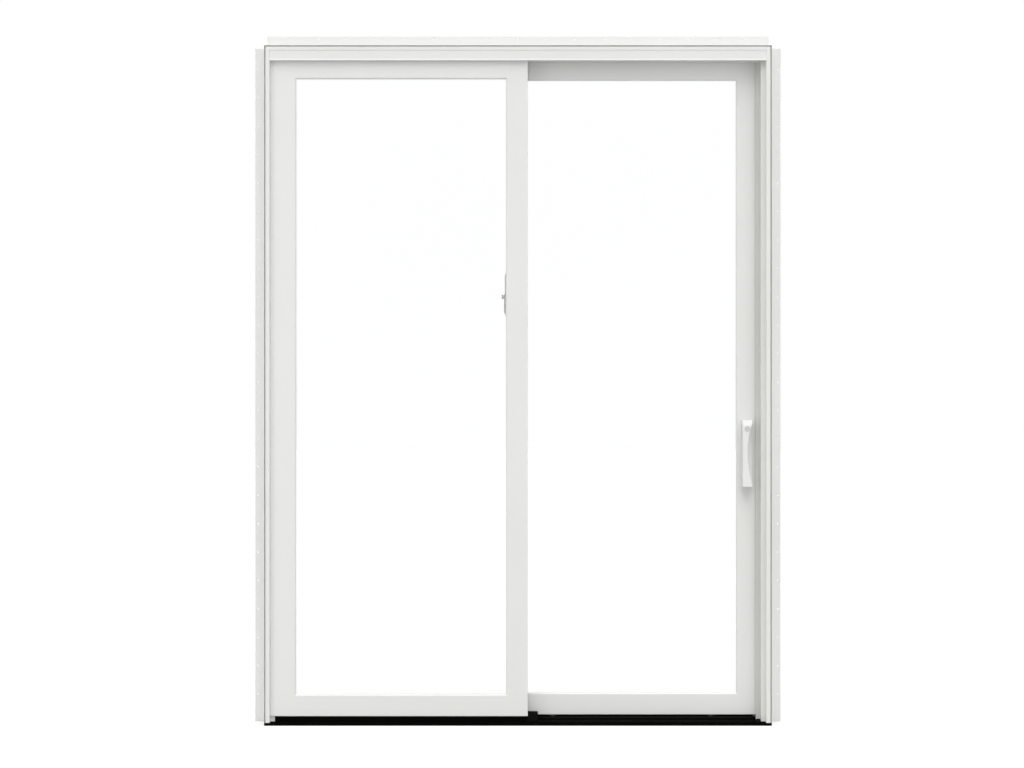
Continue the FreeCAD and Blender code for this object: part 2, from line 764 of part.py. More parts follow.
fixed_leg = ("(meetingCentre + hookOffset)", "(meetingCentre + hookOffset + hookThickness)")
sliding_leg = (f"({fixed_leg[0]} - hookGap - hookThickness)", f"({fixed_leg[0]} - hookGap)")
fixed_strip_back = f"({fixed_back} + hookThickness)"
sliding_strip_front = f"({sliding_face} - hookThickness)"
keep(
    extrusion(
        "FixedInterlock",
        "XY_Plane",
        ("panelBottom", f"{cover_under} - cutGap"),
        [
            (fixed_leg[0], fixed_back),
            (f"{fixed_leg[0]} + hookBase", fixed_back),
            (f"{fixed_leg[0]} + hookBase", fixed_strip_back),
            (fixed_leg[1], fixed_strip_back),
            (fixed_leg[1], f"{fixed_strip_back} + hookLeg"),
            (fixed_leg[0], f"{fixed_strip_back} + hookLeg"),
        ],
    ),
    "fixed_interlock",
)
keep(
    extrusion(
        "SlidingInterlock",
        "XY_Plane",
        ("panelBottom", f"{cover_under} - runningGap"),
        [
            (sliding_leg[1], sliding_face),
            (f"{sliding_leg[1]} - hookBase", sliding_face),
            (f"{sliding_leg[1]} - hookBase", sliding_strip_front),
            (sliding_leg[0], sliding_strip_front),
            (sliding_leg[0], f"{sliding_strip_front} - hookLeg"),
            (sliding_leg[1], f"{sliding_strip_front} - hookLeg"),
        ],
    ),
    "sliding_interlock",
)


# Rollers in the bottom rail's groove

axle_height = f"({track_top} + seatGap + wheelDiameter / 2 - flangeDepth)"
groove_top = "(panelBottom + grooveHeight)"
wheel_half = "(wheelWidth / 2)"
housing_inside = f"({wheel_half} + sideGap)"
housing_outside = f"({housing_inside} + housingWall)"
tread_half = "(trackWidth / 2 + sideGap)"
axle_bore = "(axleDiameter / 2 + seatGap)"
roller_places = (f"({meeting_right} + rollerInset)", f"({sliding_sight_right} - rollerInset)")


def roller_housing(centre):
    outline = [
        (f"{sliding_middle} - {housing_outside}", "panelBottom + housingFoot"),
        (f"{sliding_middle} - {housing_inside}", "panelBottom + housingFoot"),
        (f"{sliding_middle} - {housing_inside}", f"{groove_top} - housingWall"),
        (f"{sliding_middle} + {housing_inside}", f"{groove_top} - housingWall"),
        (f"{sliding_middle} + {housing_inside}", "panelBottom + housingFoot"),
        (f"{sliding_middle} + {housing_outside}", "panelBottom + housingFoot"),
        (f"{sliding_middle} + {housing_outside}", groove_top),
        (f"{sliding_middle} - {housing_outside}", groove_top),
    ]
    length = (f"{centre} - housingLength / 2", f"{centre} + housingLength / 2")
    channel = extrusion("HousingChannel", "YZ_Plane", length, outline)
    axle_span = (f"{sliding_middle} - {housing_outside}", f"{sliding_middle} + {housing_outside}")
    axle = rod("Axle", "Y", centre, axle_height, axle_span, "axleDiameter")
    return fuse("Housing", channel, axle)


def roller_wheel(centre):
    flange = "wheelDiameter / 2"
    tread = "wheelDiameter / 2 - flangeDepth"
    return turned(
        "Wheel",
        (centre, sliding_middle, axle_height),
        [
            (f"-{wheel_half}", axle_bore),
            (wheel_half, axle_bore),
            (wheel_half, flange),
            (tread_half, flange),
            (tread_half, tread),
            (f"-{tread_half}", tread),
            (f"-{tread_half}", flange),
            (f"-{wheel_half}", flange),
        ],
    )


keep(group("Housings", *[roller_housing(place) for place in roller_places]), "roller_housings")
keep(group("Wheels", *[roller_wheel(place) for place in roller_places]), "roller_wheels")


# Handles: a plate and a pull grip on each face of the lock stile, the same shape outside and inside

handle_middle = f"({lock_edge} - handleBackset)"
grip_left = f"({handle_middle} - gripWidth / 2)"
grip_right = f"({handle_middle} + gripWidth / 2)"
grip_top = "(handleBottom + gripHeight)"
grip_bend = f"({grip_top} - gripSlope)"
cylinder_height = f"({grip_top} - cylinderDrop)"
cylinder_hole = "(cylinderDiameter + 2 * seatGap)"
grip_hollow = "(gripWidth - gripWaist)"
hollow_half = "(gripHeight / 2 - gripShoulder)"
hollow_diameter = f"(({hollow_half} ^ 2 + {grip_hollow} ^ 2) / {grip_hollow})"
hollow_centre = (f"{grip_left} + gripWaist + {hollow_diameter} / 2", "handleBottom + gripHeight / 2")


def handle(prefix, face, sign):
    def out(distance):
        return f"({face} + ({sign}) * ({distance}))"

    def span(near, far):
        return (out(near), out(far)) if sign == "1" else (out(far), out(near))

    plate = slab(
        prefix + "PlateBlank",
        (grip_left, f"{grip_left} + plateWidth"),
        span("0", "plateThickness"),
        ("handleBottom + plateInset", f"{grip_top} - plateInset"),
    )
    plate_hole = rod(
        prefix + "PlateHole", "Y", handle_middle, cylinder_height, span("0", "plateThickness"), cylinder_hole
    )
    keep(cut(prefix + "Plate", plate, plate_hole), prefix + "_handle_plate")

    front = out("standOff")
    behind = out("standOff - gripBar")
    foot = out("plateThickness")
    upper_foot = f"{grip_top} - upperFoot"
    lower_foot = "handleBottom + lowerFoot"
    grip = extrusion(
        prefix + "Grip",
        "YZ_Plane",
        (grip_left, grip_right),
        [
            (foot, "handleBottom"),
            (front, "handleBottom"),
            (front, grip_bend),
            (out("standOff - gripLean"), grip_top),
            (foot, grip_top),
            (foot, upper_foot),
            (behind, upper_foot),
            (behind, lower_foot),
            (foot, lower_foot),
        ],
    )
    bore(grip, hollow_centre, hollow_diameter, span("0", "standOff"))
    bore(grip, (handle_middle, cylinder_height), cylinder_hole, span("0", "standOff"))
    round_front(grip, number(front), number("gripLean"), number(grip_bend))
    keep(grip, prefix + "_handle_grip")


def round_front(body, front, lean, bend):
    # Rounds the outline of the grip's front, without the bend under its top and the cylinder's hole
    base = body.Tip
    names = []
    for index, edge in enumerate(base.Shape.Edges, start=1):
        ahead = all(abs(vertex.Y - front) < lean + 1e-6 for vertex in edge.Vertexes)
        bent = all(abs(vertex.Z - bend) < 1e-6 for vertex in edge.Vertexes)
        if ahead and not bent and not edge.isClosed():
            names.append(f"Edge{index}")
    fillet = body.newObject("PartDesign::Fillet", "FrontRound")
    fillet.Base = (base, names)
    bind(fillet, Radius="gripRound")
    body.Tip = fillet


handle("outside", sliding_face, "-1")
handle("inside", sliding_back, "1")


# Key cylinder through the outside grip, with a plug that turns

def key_cylinder():
    front = f"{sliding_face} - standOff - cylinderProud"
    length = (front, sliding_face)
    plug_hole = "plugDiameter + 2 * plugGap"
    shell = rod("CylinderShell", "Y", handle_middle, cylinder_height, length, "cylinderDiameter")
    hole = rod("CylinderHole", "Y", handle_middle, cylinder_height, length, plug_hole)
    keep(cut("Cylinder", shell, hole), "key_cylinder")
    plug_span = (f"{front} + plugGap", f"{sliding_face} - seatGap")
    barrel = rod("PlugBarrel", "Y", handle_middle, cylinder_height, plug_span, "plugDiameter")
    keyway = slab(
        "Keyway",
        (f"{handle_middle} - keywayWidth / 2", f"{handle_middle} + keywayWidth / 2"),
        (plug_span[0], f"{plug_span[0]} + keywayDepth"),
        (f"{cylinder_height} - keywayHeight / 2", f"{cylinder_height} + keywayHeight / 2"),
    )
    keep(cut("Plug", barrel, keyway), "key_plug")


def thumb_turn():
    # The spindle passes through the inside grip and its plate to the stile
    seat = f"({sliding_back} + standOff)"
    rose_front = f"({seat} + turnRose)"
    through = (sliding_back, seat)
    spindle = rod("TurnSpindle", "Y", handle_middle, cylinder_height, through, "cylinderDiameter")
    rose = rod("TurnRose", "Y", handle_middle, cylinder_height, (seat, rose_front), "turnDiameter")
    wing = slab(
        "TurnWing",
        (f"{handle_middle} - turnWidth / 2", f"{handle_middle} + turnWidth / 2"),
        (rose_front, f"{rose_front} + turnHeight"),
        (f"{cylinder_height} - turnLength / 2", f"{cylinder_height} + turnLength / 2"),
    )
    keep(fuse("ThumbTurn", spindle, rose, wing), "thumb_turn")


key_cylinder()
thumb_turn()


# Lock plate in the stile's edge, and the strike on the jamb

def slotted_plate(name, across, width, height):
    middle = sliding_middle
    blank = slab(
        name + "Blank",
        across,
        (f"{middle} - {width} / 2", f"{middle} + {width} / 2"),
        (f"lockHeight - {height} / 2", f"lockHeight + {height} / 2"),
    )
    slot = slab(
        name + "Slot",
        across,
        (f"{middle} - lockSlotWidth / 2", f"{middle} + lockSlotWidth / 2"),
        ("lockHeight - lockSlotHeight / 2", "lockHeight + lockSlotHeight / 2"),
    )
    return cut(name, blank, slot)


lock_across = (lock_edge, f"({lock_edge} + lockPlateThickness)")
strike_across = (f"({web_face} - strikeThickness)", web_face)
keep(slotted_plate("LockPlate", lock_across, "lockPlateWidth", "lockPlateHeight"), "lock_face_plate")
keep(slotted_plate("Strike", strike_across, "strikeWidth", "strikeHeight"), "strike_plate")


# Night latch on the edge of the sliding meeting stile

latch_front = f"({meeting_left} - latchThickness)"
upper_front = f"({meeting_left} - latchUpper)"
latch_top = "(latchBottom + latchHeight)"
knob_height = "(latchBottom + knobRise)"
latch_depth = (f"{sliding_middle} - latchWidth / 2", f"{sliding_middle} + latchWidth / 2")
latch_case = extrusion(
    "LatchCase",
    "XZ_Plane",
    latch_depth,
    [
        (meeting_left, "latchBottom"),
        (meeting_left, latch_top),
        (upper_front, f"{latch_top} - latchBevel"),
        (upper_front, f"{knob_height} + latchStep"),
        (latch_front, f"{knob_height} + latchStep"),
        (latch_front, "latchBottom + latchBevel"),
    ],
)
spindle_bore = "spindleDiameter + 2 * seatGap"
case_span = (latch_front, meeting_left)
spindle_hole = rod("SpindleHole", "X", sliding_middle, knob_height, case_span, spindle_bore)
keep(cut("LatchCaseBored", latch_case, spindle_hole), "night_latch_case")

knob_back = f"({latch_front} - seatGap)"
knob_front = f"({knob_back} - knobBase)"
spindle_span = (knob_back, f"{meeting_left} - seatGap")
knob_spindle = rod("KnobSpindle", "X", sliding_middle, knob_height, spindle_span, "spindleDiameter")
knob_base = rod("KnobBase", "X", sliding_middle, knob_height, (knob_front, knob_back), "knobDiameter")
knob_wing = slab(
    "KnobWing",
    (f"{knob_front} - knobProud", knob_front),
    (f"{sliding_middle} - knobWing / 2", f"{sliding_middle} + knobWing / 2"),
    (f"{knob_height} - knobDiameter / 2", f"{knob_height} + knobDiameter / 2"),
)
keep(fuse("LatchKnob", knob_spindle, knob_base, knob_wing), "night_latch_knob")


# Stop block under the head, where the open panel ends its run

stop_right = f"({meeting_left} - {panel_travel} - travelGap)"
keep(
    slab(
        "OpenStop",
        (f"{stop_right} - blockLength", stop_right),
        (f"{sliding_middle} - blockDepth / 2", f"{sliding_middle} + blockDepth / 2"),
        (f"{head_under} - blockDrop", head_under),
    ),
    "open_stop",
)


# Check every object and write one file for each piece

doc.recompute()
for item in doc.Objects:
    if {"Invalid", "Error"} & set(item.State):
        raise RuntimeError(f"{item.Label} failed: {item.State}")
for piece in pieces:
    if piece.Shape.isNull() or not piece.Shape.isValid() or not piece.Shape.Solids:
        raise RuntimeError(f"{piece.Label} has no valid solid")

os.makedirs("parts", exist_ok=True)
for piece in pieces:
    piece.Shape.exportStep(os.path.join("parts", piece.Label + ".step"))
print(len(pieces), "pieces written")
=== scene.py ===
import math

import bmesh
import bpy
from mathutils import Matrix, Vector


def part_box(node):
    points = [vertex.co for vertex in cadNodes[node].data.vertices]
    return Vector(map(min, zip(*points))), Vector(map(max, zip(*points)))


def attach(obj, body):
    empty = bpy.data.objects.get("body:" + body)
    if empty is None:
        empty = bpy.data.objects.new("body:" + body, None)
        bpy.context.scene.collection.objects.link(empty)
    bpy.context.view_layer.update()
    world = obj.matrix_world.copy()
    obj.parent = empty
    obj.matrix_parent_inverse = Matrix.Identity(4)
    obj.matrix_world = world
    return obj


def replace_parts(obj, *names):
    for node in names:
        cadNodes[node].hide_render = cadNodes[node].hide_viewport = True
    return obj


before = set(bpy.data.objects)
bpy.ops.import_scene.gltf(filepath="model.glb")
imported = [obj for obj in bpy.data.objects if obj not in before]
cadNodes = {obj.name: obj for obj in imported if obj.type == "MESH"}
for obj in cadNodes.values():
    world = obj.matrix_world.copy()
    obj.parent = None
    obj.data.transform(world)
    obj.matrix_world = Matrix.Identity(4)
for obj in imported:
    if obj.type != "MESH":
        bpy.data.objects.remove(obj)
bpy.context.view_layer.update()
scene = bpy.context.scene
scene.view_settings.view_transform = "Standard"
print("frame loaded,", len(cadNodes), "nodes")


# finishes, all on object coordinates

noiseLook = {
    "low": 0.3, "high": 0.7,  # most of a noise lies between these
    "cloudDetail": 3, "grainDetail": 4, "waveDetail": 1, "bumpHeight": 0.0004,
}
upright = (1, 1, 0.01)  # drawn lines run up
level = (0.01, 1, 1)  # drawn lines run across
even = (1, 1, 1)


def startFinish(name):
    finish = bpy.data.materials.new(name)
    finish.use_nodes = True
    tree = finish.node_tree
    coords = tree.nodes.new("ShaderNodeTexCoord").outputs["Object"]
    return finish, tree, tree.nodes["Principled BSDF"], coords


def addGrain(tree, coords, stretch, scale, detail):
    mapping = tree.nodes.new("ShaderNodeMapping")
    mapping.inputs["Scale"].default_value = stretch
    tree.links.new(coords, mapping.inputs["Vector"])
    noise = tree.nodes.new("ShaderNodeTexNoise")
    noise.inputs["Scale"].default_value = scale
    noise.inputs["Detail"].default_value = detail
    tree.links.new(mapping.outputs["Vector"], noise.inputs["Vector"])
    return noise.outputs["Fac"]


def tintBy(tree, shader, grain, dark, light):
    ramp = tree.nodes.new("ShaderNodeValToRGB")
    first, last = ramp.color_ramp.elements
    first.position, last.position = noiseLook["low"], noiseLook["high"]
    first.color = (*dark, 1)
    last.color = (*light, 1)
    tree.links.new(grain, ramp.inputs["Fac"])
    tree.links.new(ramp.outputs["Color"], shader.inputs["Base Color"])


def roughBy(tree, shader, grain, low, high):
    spread = tree.nodes.new("ShaderNodeMapRange")
    spread.inputs["From Min"].default_value = noiseLook["low"]
    spread.inputs["From Max"].default_value = noiseLook["high"]
    spread.inputs["To Min"].default_value = low
    spread.inputs["To Max"].default_value = high
    tree.links.new(grain, spread.inputs["Value"])
    tree.links.new(spread.outputs["Result"], shader.inputs["Roughness"])


def bumpBy(tree, shader, grain, strength):
    bump = tree.nodes.new("ShaderNodeBump")
    bump.inputs["Strength"].default_value = strength
    bump.inputs["Distance"].default_value = noiseLook["bumpHeight"]
    tree.links.new(grain, bump.inputs["Height"])
    tree.links.new(bump.outputs["Normal"], shader.inputs["Normal"])


def profileFinish(name, look):  # extruded or moulded, with lines or grain as the stretch says
    finish, tree, shader, coords = startFinish(name)
    cloud = addGrain(tree, coords, even, look["cloud"], noiseLook["cloudDetail"])
    grain = addGrain(tree, coords, look["stretch"], look["grain"], noiseLook["grainDetail"])
    tintBy(tree, shader, cloud, look["dark"], look["light"])
    roughBy(tree, shader, grain, *look["rough"])
    bumpBy(tree, shader, grain, look["bump"])
    shader.inputs["Metallic"].default_value = look.get("metal", 0)
    shader.inputs["Specular IOR Level"].default_value = look.get("gloss", 0.5)
    return finish


vinylLook = {
    "dark": (0.795, 0.8, 0.772), "light": (0.82, 0.825, 0.8), "cloud": 2.2,
    "grain": 420, "rough": (0.36, 0.5), "bump": 0.05, "gloss": 0.3,
}
vinylUpright = profileFinish("vinylUpright", {**vinylLook, "stretch": upright})
vinylLevel = profileFinish("vinylLevel", {**vinylLook, "stretch": level})
finVinyl = profileFinish("finVinyl", {
    **vinylLook, "dark": (0.8, 0.802, 0.785), "light": (0.83, 0.832, 0.815), "stretch": even, "gloss": 0.25,
})
sealVinyl = profileFinish("sealVinyl", {
    **vinylLook, "dark": (0.63, 0.635, 0.6), "light": (0.67, 0.675, 0.64), "stretch": upright, "gloss": 0.25,
})
sillBlack = profileFinish("sillBlack", {
    "dark": (0.0008, 0.0009, 0.0006), "light": (0.002, 0.0021, 0.0016), "cloud": 5, "grain": 500,
    "stretch": level, "rough": (0.4, 0.55), "bump": 0.08, "gloss": 0.02,
})
blockBlack = profileFinish("blockBlack", {
    "dark": (0.0016, 0.0016, 0.0015), "light": (0.0034, 0.0034, 0.0032), "cloud": 30, "grain": 900,
    "stretch": even, "rough": (0.45, 0.65), "bump": 0.12, "gloss": 0.05,
})
handlePaint = profileFinish("handlePaint", {
    "dark": (0.79, 0.79, 0.775), "light": (0.82, 0.82, 0.805), "cloud": 12, "grain": 700,
    "stretch": even, "rough": (0.24, 0.36), "bump": 0.06, "gloss": 0.5,
})
# painted light: the night latch's nylon is set whiter than the handle paint so it reads bright though it
# sits in shade behind the fixed glass and the meeting stile
latchNylonPaintedBright = profileFinish("latchNylonPaintedBright", {
    "dark": (0.9, 0.9, 0.89), "light": (0.93, 0.93, 0.92), "cloud": 12, "grain": 700,
    "stretch": even, "rough": (0.4, 0.55), "bump": 0.06, "gloss": 0.4,
})
platedSteel = profileFinish("platedSteel", {
    "dark": (0.54, 0.54, 0.52), "light": (0.64, 0.64, 0.62), "cloud": 40, "grain": 900,
    "stretch": (1, 1, 0.03), "rough": (0.28, 0.42), "bump": 0.05, "metal": 1,
})
plugNickel = profileFinish("plugNickel", {
    "dark": (0.58, 0.58, 0.56), "light": (0.65, 0.65, 0.63), "cloud": 60, "grain": 1100,
    "stretch": even, "rough": (0.3, 0.42), "bump": 0.04, "metal": 1,
})
railBlack = profileFinish("railBlack", {
    "dark": (0.006, 0.006, 0.006), "light": (0.012, 0.012, 0.012), "cloud": 12, "grain": 600,
    "stretch": level, "rough": (0.35, 0.5), "bump": 0.06, "gloss": 0.15,
})
spacerMill = profileFinish("spacerMill", {
    "dark": (0.58, 0.58, 0.58), "light": (0.66, 0.66, 0.66), "cloud": 20, "grain": 500,
    "stretch": even, "rough": (0.35, 0.5), "bump": 0.04, "metal": 1,
})
wheelNylon = profileFinish("wheelNylon", {
    "dark": (0.07, 0.07, 0.07), "light": (0.11, 0.11, 0.11), "cloud": 60, "grain": 900,
    "stretch": even, "rough": (0.4, 0.55), "bump": 0.06,
})
gasketSoft = profileFinish("gasketSoft", {
    "dark": (0.6, 0.6, 0.575), "light": (0.66, 0.66, 0.635), "cloud": 10, "grain": 700,
    "stretch": even, "rough": (0.6, 0.75), "bump": 0.08, "gloss": 0.2,
})
pileWool = profileFinish("pileWool", {
    "dark": (0.24, 0.24, 0.235), "light": (0.4, 0.4, 0.39), "cloud": 260, "grain": 1500,
    "stretch": even, "rough": (0.85, 0.98), "bump": 0.4, "gloss": 0.1,
})


def paneFinish(name, look):
    finish, tree, shader, coords = startFinish(name)
    wave = addGrain(tree, coords, even, look["wave"], noiseLook["waveDetail"])
    tintBy(tree, shader, wave, look["dark"], look["light"])
    shader.inputs["Transmission Weight"].default_value = 1
    shader.inputs["Roughness"].default_value = 0
    shader.inputs["IOR"].default_value = look["bend"]
    return finish


paneClear = paneFinish("paneClear", {
    "dark": (0.994, 0.998, 0.996), "light": (0.998, 1, 0.999), "wave": 0.8, "bend": 1.45,
})

finishOf = {
    vinylUpright: [
        "left_jamb", "right_jamb", "fixed_left_stile", "fixed_meeting_stile",
        "sliding_meeting_stile", "sliding_lock_stile", "fixed_glazing_beads", "sliding_glazing_beads",
        "parting_strips", "inside_stops",
    ],
    vinylLevel: [
        "head", "head_cover", "fixed_top_rail", "fixed_bottom_rail",
        "sliding_top_rail", "sliding_bottom_rail",
    ],
    finVinyl: ["nailing_fin_left", "nailing_fin_right", "nailing_fin_head"],
    sealVinyl: ["jamb_seal_strip", "fixed_interlock", "sliding_interlock"],
    sillBlack: ["sill", "sill_seat_rail", "sill_riser"],
    blockBlack: ["sill_block", "open_stop"],
    railBlack: ["roller_track"],
    paneClear: ["fixed_outer_glass", "fixed_inner_glass", "sliding_outer_glass", "sliding_inner_glass"],
    spacerMill: ["fixed_glass_spacer", "sliding_glass_spacer"],
    platedSteel: ["roller_housings", "lock_face_plate", "strike_plate", "key_cylinder"],
    plugNickel: ["key_plug"],
    wheelNylon: ["roller_wheels"],
    handlePaint: [
        "outside_handle_plate", "outside_handle_grip",
        "inside_handle_plate", "inside_handle_grip", "thumb_turn",
    ],
    latchNylonPaintedBright: ["night_latch_case", "night_latch_knob"],
}
nodeFinish = {node: finish for finish, group in finishOf.items() for node in group}
for node, thing in cadNodes.items():
    thing.data.materials.clear()
    thing.data.materials.append(nodeFinish[node])
print("finishes on", len(nodeFinish), "nodes")


# ways of making a piece

def settle(name, shape, body, finish):
    mesh = bpy.data.meshes.new(name)
    shape.to_mesh(mesh)
    shape.free()
    thing = bpy.data.objects.new(name, mesh)
    scene.collection.objects.link(thing)
    mesh.materials.append(finish)
    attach(thing, body)
    return thing


def edgesOf(verts):  # each edge once, in the same order on every run
    return list(dict.fromkeys(edge for vert in verts for edge in vert.link_edges))


def addBar(shape, low, high, ease):
    low, high = Vector(low), Vector(high)
    corners = bmesh.ops.create_cube(shape, size=1)["verts"]
    bmesh.ops.scale(shape, vec=high - low, verts=corners)
    bmesh.ops.translate(shape, vec=(low + high) / 2, verts=corners)
    bmesh.ops.bevel(
        shape, geom=edgesOf(corners), offset=ease, affect="EDGES", segments=2, profile=0.5, material=-1
    )


# panels and head cover with eased outer edges

easedPanels = {
    "fixed": ["left_stile", "meeting_stile", "top_rail", "bottom_rail"],
    "sliding": ["lock_stile", "meeting_stile", "top_rail", "bottom_rail"],
    "ease": 0.0016, "sharp": math.radians(60),
}
mergeLook = {"near": 1e-6, "flat": math.radians(0.5), "onBox": 1e-5}


def mergedCopy(node):
    shape = bmesh.new()
    shape.from_mesh(cadNodes[node].data)
    bmesh.ops.remove_doubles(shape, verts=shape.verts, dist=mergeLook["near"])
    bmesh.ops.dissolve_limit(shape, angle_limit=mergeLook["flat"], verts=shape.verts, edges=shape.edges)
    return shape


def onEdgeOf(edge, low, high):  # along an outer edge of the box
    near = 0
    for axis in range(3):
        ends = [vert.co[axis] for vert in edge.verts]
        if any(all(abs(end - limit[axis]) < mergeLook["onBox"] for end in ends) for limit in (low, high)):
            near += 1
    return near == 2


def easePanel(prefix, body):
    members = easedPanels[prefix]
    boxes = [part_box(f"{prefix}_{member}") for member in members]
    low = Vector(min(box[0][axis] for box in boxes) for axis in range(3))
    high = Vector(max(box[1][axis] for box in boxes) for axis in range(3))
    for member in members:
        node = f"{prefix}_{member}"
        shape = mergedCopy(node)
        outer = [edge for edge in shape.edges if onEdgeOf(edge, low, high)]
        outer = [edge for edge in outer if edge.calc_face_angle(0) > easedPanels["sharp"]]
        bmesh.ops.bevel(
            shape, geom=outer, offset=easedPanels["ease"],
            affect="EDGES", segments=3, profile=0.5, material=-1,
        )
        name = prefix + "".join(word.capitalize() for word in member.split("_"))
        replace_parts(settle(name, shape, body, nodeFinish[node]), node)


easePanel("fixed", "frame")
easePanel("sliding", "sliding_panel")

# the cover's nose slopes up to the face, with a crisp edge below
coverLook = {
    "rise": 0.002, "drop": 0.003, "crisp": 0.0014, "round": 0.0004,
    # which corners of the section move, measured behind the front and over the foot
    "nose": 0.0065, "near": 0.0001, "slopeEnd": (0.001, 0.0018), "underside": (0.0018, 0.0022),
    "lowCorner": 0.0022, "lipHigh": 0.005, "lipDeep": 0.001, "lipLong": 1,
}
cover = mergedCopy("head_cover")
coverFront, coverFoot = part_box("head_cover")[0].yz


def between(value, limits):
    return limits[0] < value < limits[1]


for vert in cover.verts:
    back, up = vert.co.y - coverFront, vert.co.z - coverFoot
    if between(back, coverLook["slopeEnd"]) and up < coverLook["nose"]:
        vert.co.z += coverLook["rise"]
    elif between(back, coverLook["underside"]) and up < coverLook["near"]:
        vert.co.y -= coverLook["crisp"]
    elif back < coverLook["near"]:
        vert.co.z -= coverLook["crisp"] if up < coverLook["lowCorner"] else coverLook["drop"]
lipTop, lipBack = coverFoot + coverLook["lipHigh"], coverFront + coverLook["lipDeep"]
lipEdges = [
    edge for edge in cover.edges
    if all(vert.co.z < lipTop and vert.co.y < lipBack for vert in edge.verts)
    and edge.calc_length() > coverLook["lipLong"]
]
bmesh.ops.bevel(
    cover, geom=lipEdges, offset=coverLook["round"], affect="EDGES", segments=4, profile=0.5, material=-1
)
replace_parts(settle("headCover", cover, "frame", vinylLevel), "head_cover")
print("eased panels and head cover")


# soft lips on the inside of the glass

lipLook = {"wide": 0.0016, "proud": 0.0014, "bite": 0.009, "ease": 0.0004}


def addGlassLips(name, pane, body):
    low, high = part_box(pane)
    wide, proud, bite, ease = (lipLook[part] for part in ("wide", "proud", "bite", "ease"))
    left, right = low.x + bite, high.x - bite
    bottom, top = low.z + bite, high.z - bite
    front, back = high.y, high.y + proud
    shape = bmesh.new()
    addBar(shape, (left, front, bottom), (left + wide, back, top), ease)
    addBar(shape, (right - wide, front, bottom), (right, back, top), ease)
    addBar(shape, (left + wide, front, bottom), (right - wide, back, bottom + wide), ease)
    addBar(shape, (left + wide, front, top - wide), (right - wide, back, top), ease)
    settle(name, shape, body, gasketSoft)


addGlassLips("fixedGlassLips", "fixed_inner_glass", "frame")
addGlassLips("slidingGlassLips", "sliding_inner_glass", "sliding_panel")
print("glass lips made")


# brush seals around the sliding panel

brushLook = {
    "pitch": 0.005, "ribbon": 0.0008, "ease": 0.0002, "air": 0.0004,
    "tuftLong": 0.92, "tuftWide": 0.7,  # shares of the pitch and of the ribbon
    "taperLong": 0.25, "taperWide": 0.55,  # how far a tip draws in
    "jamb": (0.8555, 0.8615), "run": (-0.84, 0.84), "stopRun": (-0.79, 0.84),  # places across the door
    "head": (0.009, 0.003), "foot": (0.004, 0.01), "stopLift": 0.02,  # under the panel's top, over its foot
    "leg": 0.002,  # width on the interlock
}


def addBrush(name, low, high, run, facing):
    # a ribbon on its carrier and a row of tufts that lean on the panel
    low, high = Vector(low), Vector(high)
    ribbon, ease = brushLook["ribbon"], brushLook["ease"]
    shape = bmesh.new()
    if facing > 0:
        addBar(shape, low, (high.x, low.y + ribbon, high.z), ease)
        root, tip = low.y + ribbon, high.y
    else:
        addBar(shape, (low.x, high.y - ribbon, low.z), high, ease)
        root, tip = high.y - ribbon, low.y
    pitch = brushLook["pitch"]
    count = int((high[run] - low[run]) / pitch)
    across = 2 - run
    middle = (low + high) / 2
    for index in range(count):
        tuft = bmesh.ops.create_cube(shape, size=1)["verts"]
        size = Vector((0, abs(tip - root), 0))
        size[run] = pitch * brushLook["tuftLong"]
        size[across] = (high[across] - low[across]) * brushLook["tuftWide"]
        bmesh.ops.scale(shape, vec=size, verts=tuft)
        place = middle.copy()
        place.y = (root + tip) / 2
        place[run] = low[run] + pitch * (index + 0.5)
        bmesh.ops.translate(shape, vec=place, verts=tuft)
        for vert in tuft:  # tufts narrow to their tips
            if abs(vert.co.y - tip) < mergeLook["near"]:
                vert.co[across] += (middle[across] - vert.co[across]) * brushLook["taperWide"]
                vert.co[run] += (place[run] - vert.co[run]) * brushLook["taperLong"]
    settle(name, shape, "frame", pileWool)


panelFront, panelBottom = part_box("sliding_lock_stile")[0].yz
panelBack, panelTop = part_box("sliding_lock_stile")[1].yz
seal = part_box("jamb_seal_strip")
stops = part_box("inside_stops")
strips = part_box("parting_strips")
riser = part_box("sill_riser")
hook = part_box("fixed_interlock")
outerTip, innerTip = panelFront - brushLook["air"], panelBack + brushLook["air"]
stopFace = stops[0].y
jambLow, jambHigh = brushLook["jamb"]
runLow, runHigh = brushLook["run"]
stopRunLow, stopRunHigh = brushLook["stopRun"]
headLow, headHigh = (panelTop - down for down in brushLook["head"])
footLow, footHigh = (panelBottom + up for up in brushLook["foot"])
stopBottom = panelBottom + brushLook["stopLift"]
legEnd = hook[0].x + brushLook["leg"]
upwards, sideways = 2, 0  # the axis that a brush runs along
addBrush("jambBrush", (jambLow, seal[1].y, panelBottom), (jambHigh, outerTip, panelTop), upwards, 1)
addBrush("stopBrush", (jambLow, innerTip, stopBottom), (jambHigh, stopFace, panelTop), upwards, -1)
addBrush("headBrush", (runLow, strips[1].y, headLow), (runHigh, outerTip, headHigh), sideways, 1)
addBrush("headStopBrush", (stopRunLow, innerTip, headLow), (stopRunHigh, stopFace, headHigh), sideways, -1)
addBrush("sillBrush", (runLow, innerTip, footLow), (runHigh, riser[0].y, footHigh), sideways, -1)
addBrush("meetingBrush", (hook[0].x, hook[1].y, hook[0].z), (legEnd, outerTip, hook[1].z), upwards, 1)
print("brush seals made")


# screws with a cross recess

screwLook = {
    "round": 24, "recess": 0.0006,
    "shoulderHigh": 0.6, "shoulderWide": 0.88,  # shares of the head's height and radius
    "slot": 0.16, "reach": 0.52,  # the cross, as shares of the radius
    "floorWide": 0.85,  # the recess narrows to this share
}


